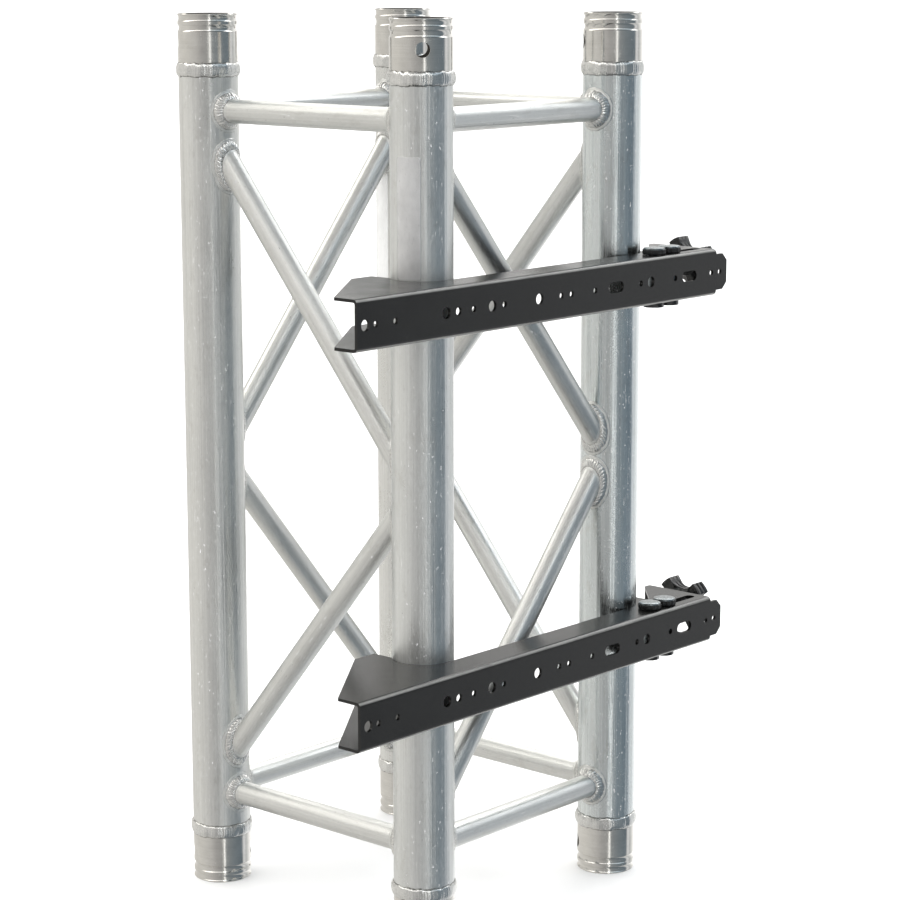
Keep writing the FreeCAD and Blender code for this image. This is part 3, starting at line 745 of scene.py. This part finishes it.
# the saddles between the lobes: where they start, and how deep they are scooped behind and in front
KNOB_SADDLE_RADIUS = 0.014
KNOB_REAR_SCOOP = 0.0032
KNOB_FRONT_SCOOP = 0.0024
KNOB_LOBE_HOLLOW = 0.0012
KNOB_WAIST = KNOB_BOSS_RADIUS + 0.0012
KNOB_CAP_GROOVE = 0.0004
# two grooves round the rim, as shares of its width, and their outline: (along the axis, depth)
KNOB_GROOVES = (0.34, 0.66)
KNOB_GROOVE_OUTLINE = ((-0.0009, 0.0), (-0.0004, 0.0006), (0.0004, 0.0006), (0.0009, 0.0))
# outlines of the boss's end, the boss's root and the cap's corner: (along the axis, radius)
KNOB_BOSS_END = (
    (0.0004, KNOB_SOCKET_RADIUS),
    (0.0, KNOB_SOCKET_RADIUS + 0.0004),
    (0.0, KNOB_BOSS_RADIUS - 0.0010),
    (0.0003, KNOB_BOSS_RADIUS - 0.0003),
    (0.0010, KNOB_BOSS_RADIUS),
)
KNOB_BOSS_ROOT = (
    (-0.0014, KNOB_BOSS_RADIUS),
    (-0.0004, KNOB_BOSS_RADIUS + 0.0003),
    (0.0, KNOB_WAIST),
)
KNOB_CAP = (
    (-0.0016, KNOB_BOSS_RADIUS),
    (-0.0006, KNOB_BOSS_RADIUS - 0.0003),
    (-0.0002, KNOB_BOSS_RADIUS - 0.0011),
    (0.0, KNOB_BOSS_RADIUS / 2),
)
EDGE_STEPS = 6


def rounded_edge(level, rim, edge, side):
    """A rounded edge from a flat face out to the rim; side is 1 if the piece lies above the face, or -1."""
    turns = [step / EDGE_STEPS * math.pi / 2 for step in range(EDGE_STEPS + 1)]
    return [(level + side * edge * (1 - math.cos(turn)), rim - edge + edge * math.sin(turn))
            for turn in turns]


def knob_outline(angle):
    """Distance from the axis to the rim, with the corners between lobe and scallop rounded."""
    sector = 2 * math.pi / KNOB_LOBES
    swing = (angle % sector) - sector / 2
    across = KNOB_SCALLOP_DISTANCE * math.sin(swing)
    if abs(across) >= KNOB_SCALLOP_RADIUS:
        return KNOB_RADIUS
    scallop = KNOB_SCALLOP_DISTANCE * math.cos(swing) - math.sqrt(KNOB_SCALLOP_RADIUS ** 2 - across ** 2)
    blend = min(max(0.5 + (scallop - KNOB_RADIUS) / (2 * KNOB_SOFTNESS), 0), 1)
    return scallop * (1 - blend) + KNOB_RADIUS * blend - KNOB_SOFTNESS * blend * (1 - blend)


def knob_section(angle):
    """Profile from the socket in the boss, over the rear face and rim, to the capped front: (x, radius)."""
    rim = knob_outline(angle)
    lobe = min(max((rim - KNOB_SADDLE_RADIUS) / (KNOB_RADIUS - KNOB_SADDLE_RADIUS), 0), 1)
    rear = KNOB_REAR_SCOOP * (1 - lobe) ** 2
    front = KNOB_THICKNESS - KNOB_FRONT_SCOOP * (1 - lobe) ** 2
    face_width = rim - KNOB_EDGE - KNOB_WAIST
    profile = [(KNOB_SOCKET_DEPTH - KNOB_BOSS_LENGTH, KNOB_SOCKET_RADIUS)]
    profile += [(x - KNOB_BOSS_LENGTH, radius) for x, radius in KNOB_BOSS_END]
    profile += [(rear / 2 + x, radius) for x, radius in KNOB_BOSS_ROOT]
    for step in range(1, EDGE_STEPS):
        share = step / EDGE_STEPS
        hollow = KNOB_LOBE_HOLLOW * math.sin(math.pi * share) * lobe
        profile.append((rear * (1 + share) / 2 + hollow, KNOB_WAIST + face_width * share))
    profile += rounded_edge(rear, rim, KNOB_EDGE, 1)
    for share in KNOB_GROOVES:
        level = rear + (front - rear) * share
        profile += [(level + offset, rim - depth) for offset, depth in KNOB_GROOVE_OUTLINE]
    profile += reversed(rounded_edge(front, rim, KNOB_EDGE, -1))
    profile += [(front, KNOB_WAIST + face_width / 2), (front - KNOB_CAP_GROOVE, KNOB_WAIST)]
    profile += [(KNOB_THICKNESS + x, radius) for x, radius in KNOB_CAP]
    return profile


def make_knob(which):
    """Four-lobed clamp knob with scooped saddles between its lobes."""
    low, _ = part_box(f"clamp_knob_{which}")
    centre = middle(f"clamp_spindle_{which}")
    face = Vector((low[0] + KNOB_BOSS_LENGTH, centre.y, centre.z))
    points = []
    for row in range(KNOB_ROWS):
        angle = 2 * math.pi * row / KNOB_ROWS
        turned = angle + KNOB_ANGLES[which]
        profile = knob_section(angle)
        for x, radius in profile:
            points.append(face + Vector((x, radius * math.sin(turned), radius * math.cos(turned))))
    points.append(face + Vector((KNOB_SOCKET_DEPTH - KNOB_BOSS_LENGTH, 0, 0)))
    points.append(face + Vector((KNOB_THICKNESS, 0, 0)))
    faces = turned_faces(KNOB_ROWS, len(profile))
    piece = make_piece(f"knob_{which}", points, faces, f"screw_{which}", [PLASTIC])
    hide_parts(f"clamp_knob_{which}")


COLLAR_RADIUS = 0.0101
COLLAR_BORE = 0.00405
COLLAR_SCALLOPS = 12
COLLAR_SCALLOP_DEPTH = 0.0009
COLLAR_EDGE = 0.0007
COLLAR_GAP = 0.0001
COLLAR_ROWS = 192
BOLT_SPACING = 0.0208


def collar_centres(which):
    """The two bolts' axes, at the height of the collars' undersides."""
    low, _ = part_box(f"guide_collars_{which}")
    centre = middle(f"guide_collars_{which}")
    return [Vector((centre.x + side * BOLT_SPACING / 2, centre.y, low[2])) for side in (-1, 1)]


def make_collars(which):
    """The fluted collars under the guide bolts' heads."""
    thickness = extent(f"guide_collars_{which}").z
    points, faces = [], []
    for centre in collar_centres(which):
        base = len(points)
        for row in range(COLLAR_ROWS):
            angle = 2 * math.pi * row / COLLAR_ROWS
            flute = 1 - abs(math.cos(COLLAR_SCALLOPS * angle / 2))
            radius = COLLAR_RADIUS - COLLAR_SCALLOP_DEPTH * flute
            outward = Vector((math.cos(angle), math.sin(angle), 0))
            profile = [(COLLAR_GAP, COLLAR_BORE)]
            profile += rounded_edge(COLLAR_GAP, radius, COLLAR_EDGE, 1)
            profile += reversed(rounded_edge(thickness, radius, COLLAR_EDGE, -1))
            profile.append((thickness, COLLAR_BORE))
            points += [centre + outward * reach + UP * height for height, reach in profile]
        faces += ring_faces(COLLAR_ROWS, len(profile), base)
    piece = make_piece(f"collars_{which}", points, faces, f"jaw_{which}", [OXIDE])
    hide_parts(f"guide_collars_{which}")


DISC_FACETS = 12
DISC_ROWS = 8 * DISC_FACETS
DISC_FACETING = 0.35
# radius and rise of the cap's rings, from its hidden foot to its top
DISC_RINGS = ((0.0091, -0.0009), (0.0092, -0.0001), (0.0089, 0.0002), (0.0042, 0.0005))


def make_bolt_tops(which):
    """Thin faceted caps over the guide bolts' disc heads."""
    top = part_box(f"guide_bolts_{which}")[1][2]
    points, faces = [], []
    for centre in collar_centres(which):
        base = len(points)
        for row in range(DISC_ROWS):
            angle = 2 * math.pi * row / DISC_ROWS
            swing = (angle % (2 * math.pi / DISC_FACETS)) - math.pi / DISC_FACETS
            straight = math.cos(math.pi / DISC_FACETS) / math.cos(swing)
            share = 1 + DISC_FACETING * (straight - 1)
            for radius, rise in DISC_RINGS:
                reach = radius * share
                spot = (centre.x + reach * math.cos(angle), centre.y + reach * math.sin(angle), top + rise)
                points.append(Vector(spot))
        for _, rise in (DISC_RINGS[0], DISC_RINGS[-1]):
            points.append(Vector((centre.x, centre.y, top + rise)))
        faces += turned_faces(DISC_ROWS, len(DISC_RINGS), base)
    make_piece(f"bolt_tops_{which}", points, faces, f"jaw_{which}", [PLATED])


def paint_clamps():
    """Materials of the rails and of the clamp pieces that keep their own shape."""
    for which in RAILS:
        for part in ("rail", "anchor_block", "jaw_plates", "jaw_block"):
            paint(f"{part}_{which}", COAT)
        for part in ("guide_bolts", "guide_bushes", "clamp_spindle", "spindle_clip"):
            paint(f"{part}_{which}", PLATED)
        paint(f"guide_nuts_{which}", OXIDE)


# ---------------------------------------------------------------- studio

FLOOR_HALF = 40.0
CAMERA_PLACE = (-1.6526, -1.5113, 0.7999)
CAMERA_AZIMUTH = math.radians(-48.371)
CAMERA_ELEVATION = math.radians(10.667)
CAMERA_ROLL = math.radians(-0.103)
CAMERA_LENS = 105.84
CAMERA_REACH = 200
SUN_STRENGTH = 3.1
SUN_ANGLE = math.radians(110)
BACKDROP = (0.93, 0.93, 0.93, 1)

# how bright the walls are at each height of the direction, as a share: a strip light runs overhead
HEIGHTS = (
    (-1.0, 0.75),
    (-0.25, 1.0),
    (0.30, 0.95),
    (0.52, 0.82),
    (0.56, 3.70),
    (0.68, 3.70),
    (0.72, 0.74),
    (1.0, 0.72),
)

# what stands round the object: direction in degrees from +X towards +Y, and its light
SURROUNDINGS = (
    (0, (1.05, 1.05, 1.05)),
    (14, (1.30, 1.30, 1.30)),
    (38, (0.98, 0.97, 0.95)),
    (70, (0.80, 0.785, 0.75)),
    (130, (0.76, 0.745, 0.71)),
    (180, (0.60, 0.59, 0.575)),
    (204, (0.44, 0.435, 0.43)),
    (231, (0.36, 0.365, 0.36)),
    (233, (1.90, 1.90, 1.87)),
    (236, (1.90, 1.90, 1.87)),
    (238, (0.31, 0.33, 0.34)),
    (272, (0.215, 0.25, 0.275)),
    (314, (0.16, 0.20, 0.235)),
    (319, (0.85, 0.86, 0.88)),
    (330, (0.85, 0.86, 0.88)),
    (334, (0.55, 0.575, 0.59)),
    (346, (0.76, 0.775, 0.775)),
)


def make_floor():
    """A wide plain floor under the object."""
    floor_mesh = bpy.data.meshes.new("floor")
    corners = [(-1, -1), (1, -1), (1, 1), (-1, 1)]
    floor_mesh.from_pydata([(FLOOR_HALF * x, FLOOR_HALF * y, 0) for x, y in corners], [], [(0, 1, 2, 3)])
    floor_mesh.materials.append(pale_floor("pale_floor"))
    floor = bpy.data.objects.new("floor", floor_mesh)
    bpy.context.collection.objects.link(floor)
    # polished metal mirrors the studio's walls, not the floor
    floor.visible_glossy = False


def wall_colour(tree, direction):
    """The walls' colour and light by heading: a ramp that meets itself after a turn."""
    heading = tree.nodes.new("ShaderNodeMath")
    heading.operation = "ARCTAN2"
    share = tree.nodes.new("ShaderNodeMapRange")
    share.inputs["From Min"].default_value = -math.pi
    share.inputs["From Max"].default_value = math.pi
    ramp = tree.nodes.new("ShaderNodeValToRGB")
    tree.links.new(direction.outputs["Y"], heading.inputs[0])
    tree.links.new(direction.outputs["X"], heading.inputs[1])
    tree.links.new(heading.outputs["Value"], share.inputs["Value"])
    tree.links.new(share.outputs["Result"], ramp.inputs["Fac"])
    stops = sorted((((degrees + 180) % 360) / 360, light) for degrees, light in SURROUNDINGS)
    stops.append((1.0, stops[0][1]))
    elements = ramp.color_ramp.elements
    elements[0].position, elements[1].position = stops[0][0], stops[-1][0]
    elements[0].color, elements[1].color = (*stops[0][1], 1), (*stops[-1][1], 1)
    for position, light in stops[1:-1]:
        elements.new(position).color = (*light, 1)
    return ramp.outputs["Color"]


def wall_strength(tree, direction):
    """The walls' strength by height: a curve of straight runs."""
    level = tree.nodes.new("ShaderNodeFloatCurve")
    curve = level.mapping
    curve.use_clip = False
    curve.extend = "HORIZONTAL"
    points = curve.curves[0].points
    points[0].location, points[1].location = HEIGHTS[0], HEIGHTS[-1]
    for height, share in HEIGHTS[1:-1]:
        points.new(height, share)
    for point in points:
        point.handle_type = "VECTOR"
    curve.update()
    tree.links.new(direction.outputs["Z"], level.inputs["Value"])
    return level.outputs["Value"]


def make_world():
    """Soft studio walls that light the object, and a plain backdrop where the camera looks past it."""
    world = bpy.data.worlds.new("studio")
    world.use_nodes = True
    bpy.context.scene.world = world
    tree = world.node_tree
    tree.nodes.clear()
    place = tree.nodes.new("ShaderNodeTexCoord")
    direction = tree.nodes.new("ShaderNodeSeparateXYZ")
    tree.links.new(place.outputs["Generated"], direction.inputs["Vector"])
    walls = tree.nodes.new("ShaderNodeBackground")
    tree.links.new(wall_colour(tree, direction), walls.inputs["Color"])
    tree.links.new(wall_strength(tree, direction), walls.inputs["Strength"])
    backdrop = tree.nodes.new("ShaderNodeBackground")
    backdrop.inputs["Color"].default_value = BACKDROP
    ray = tree.nodes.new("ShaderNodeLightPath")
    choice = tree.nodes.new("ShaderNodeMixShader")
    output = tree.nodes.new("ShaderNodeOutputWorld")
    tree.links.new(ray.outputs["Is Camera Ray"], choice.inputs["Fac"])
    tree.links.new(walls.outputs["Background"], choice.inputs[1])
    tree.links.new(backdrop.outputs["Background"], choice.inputs[2])
    tree.links.new(choice.outputs["Shader"], output.inputs["Surface"])


def make_light():
    """One very broad soft light from overhead."""
    lamp = bpy.data.lights.new("overhead", "SUN")
    lamp.energy = SUN_STRENGTH
    lamp.angle = SUN_ANGLE
    light = bpy.data.objects.new("overhead", lamp)
    light.visible_glossy = False
    bpy.context.collection.objects.link(light)


def make_camera():
    """The camera, from its place and its three angles."""
    lens = bpy.data.cameras.new("camera")
    lens.lens = CAMERA_LENS
    lens.clip_end = CAMERA_REACH
    camera = bpy.data.objects.new("camera", lens)
    bpy.context.collection.objects.link(camera)
    right = Vector((math.cos(CAMERA_AZIMUTH), math.sin(CAMERA_AZIMUTH), 0))
    back = Vector((math.sin(CAMERA_AZIMUTH) * math.cos(CAMERA_ELEVATION),
                   -math.cos(CAMERA_AZIMUTH) * math.cos(CAMERA_ELEVATION), math.sin(CAMERA_ELEVATION)))
    turn = Matrix((right, back.cross(right), back)).transposed().to_4x4()
    camera.matrix_world = Matrix.Translation(CAMERA_PLACE) @ turn @ Matrix.Rotation(CAMERA_ROLL, 4, "Z")
    bpy.context.scene.camera = camera


# ---------------------------------------------------------------- build

make_camera()
paint_truss()
make_beads()
make_fillets()
for label in LABELS:
    make_label(label)
for rail in RAILS:
    make_knob(rail)
    make_collars(rail)
    make_bolt_tops(rail)
paint_clamps()
make_floor()
make_world()
make_light()
bpy.context.scene.view_settings.view_transform = "Standard"
